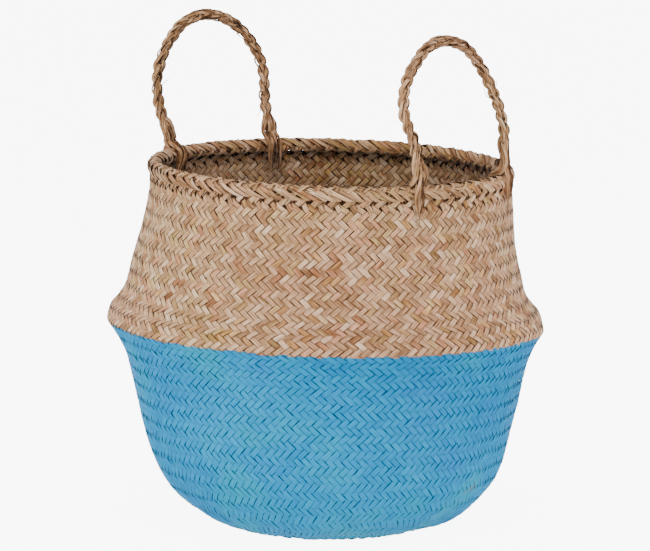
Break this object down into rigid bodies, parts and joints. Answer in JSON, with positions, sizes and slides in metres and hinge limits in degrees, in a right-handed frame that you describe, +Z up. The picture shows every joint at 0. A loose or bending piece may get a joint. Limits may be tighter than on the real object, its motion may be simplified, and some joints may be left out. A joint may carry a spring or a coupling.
{
  "type": "market basket",
  "caption": "Round woven seagrass basket with a folded belly, a painted lower half, a plaited rim and a plaited rope handle on each side.",
  "frame": {"origin": "middle of the flat underside, on the surface that the basket stands on", "axes": "+Z up through the mouth; the right handle stands 4 degrees from +X towards +Y, and the left handle 4 degrees from -X towards +Y"},
  "size_m": [0.4, 0.4, 0.4627],
  "materials": {
    "natural_weave": "undyed seagrass strips in a twill weave, satin with fine lengthwise grain",
    "painted_weave": "seagrass strips in a twill weave, painted sky blue, satin",
    "rim_plait": "undyed seagrass plaited round the mouth, satin with dark gaps",
    "handle_rope": "undyed seagrass rope of three strands, satin and grooved"
  },
  "bodies": {
    "basket": {"base_panel": "painted_weave", "lower_wall": "painted_weave", "upper_wall": "natural_weave", "rim_plait_strand_1": "rim_plait", "rim_plait_strand_2": "rim_plait", "rim_plait_strand_3": "rim_plait", "right_handle_front_outer_tail": "handle_rope", "right_handle_front_inner_tail_1": "handle_rope", "right_handle_front_inner_tail_2": "handle_rope", "right_handle_rear_outer_tail": "handle_rope", "right_handle_rear_inner_tail_1": "handle_rope", "right_handle_rear_inner_tail_2": "handle_rope", "right_handle_rear_lashing": "handle_rope", "left_handle_front_outer_tail": "handle_rope", "left_handle_front_inner_tail_1": "handle_rope", "left_handle_front_inner_tail_2": "handle_rope", "left_handle_rear_outer_tail": "handle_rope", "left_handle_rear_inner_tail_1": "handle_rope", "left_handle_rear_inner_tail_2": "handle_rope"},
    "right_handle": {"right_handle_strand_1": "handle_rope", "right_handle_strand_2": "handle_rope", "right_handle_strand_3": "handle_rope"},
    "left_handle": {"left_handle_strand_1": "handle_rope", "left_handle_strand_2": "handle_rope", "left_handle_strand_3": "handle_rope"}
  },
  "joints": [
    {"name": "right_handle_swing", "type": "hinge", "parent": "basket", "child": "right_handle", "pos_m": [0.1552, 0.01085, 0.34449], "axis": [-0.0698, 0.9976, 0], "range_deg": [-78, 102]},
    {"name": "left_handle_swing", "type": "hinge", "parent": "basket", "child": "left_handle", "pos_m": [-0.1552, 0.01085, 0.34449], "axis": [-0.0698, -0.9976, 0], "range_deg": [-101.2, 78.8]}
  ]
}
